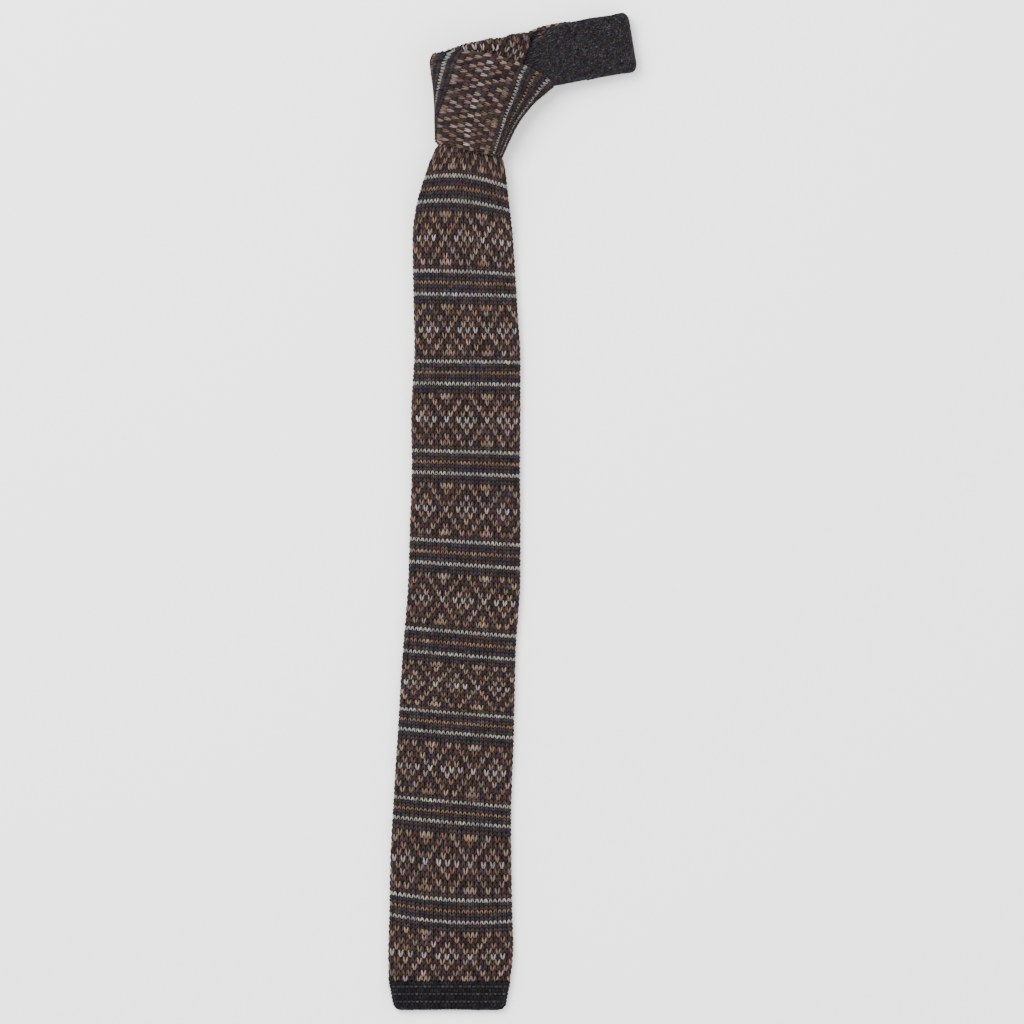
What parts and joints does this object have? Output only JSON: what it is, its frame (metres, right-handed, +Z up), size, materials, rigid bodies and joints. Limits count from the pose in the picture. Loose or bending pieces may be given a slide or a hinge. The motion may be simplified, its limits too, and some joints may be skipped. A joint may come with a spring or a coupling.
{
  "type": "knitted wool tie",
  "caption": "Knitted wool tie with a Fair Isle pattern and plain ends, tied in a four-in-hand knot and laid flat, with its neck loop folded to one side",
  "frame": {"origin": "on the floor under the middle of the tie's outline", "axes": "+Y up the blade from its tip to the knot, +X to the right seen face on, +Z up from the floor to the face"},
  "size_m": [0.1195, 0.4823, 0.0226],
  "materials": {
    "patterned_knit": "matt stranded lambswool knit",
    "plain_knit": "matt charcoal lambswool knit",
    "felted_knit": "matt felted charcoal lambswool"
  },
  "bodies": {
    "root": {"front_blade": "patterned_knit", "end_band": "plain_knit", "tail": "plain_knit", "knot_wrap": "patterned_knit", "knot_crown": "patterned_knit", "neck_band": "felted_knit", "neck_return": "patterned_knit"}
  },
  "joints": []
}
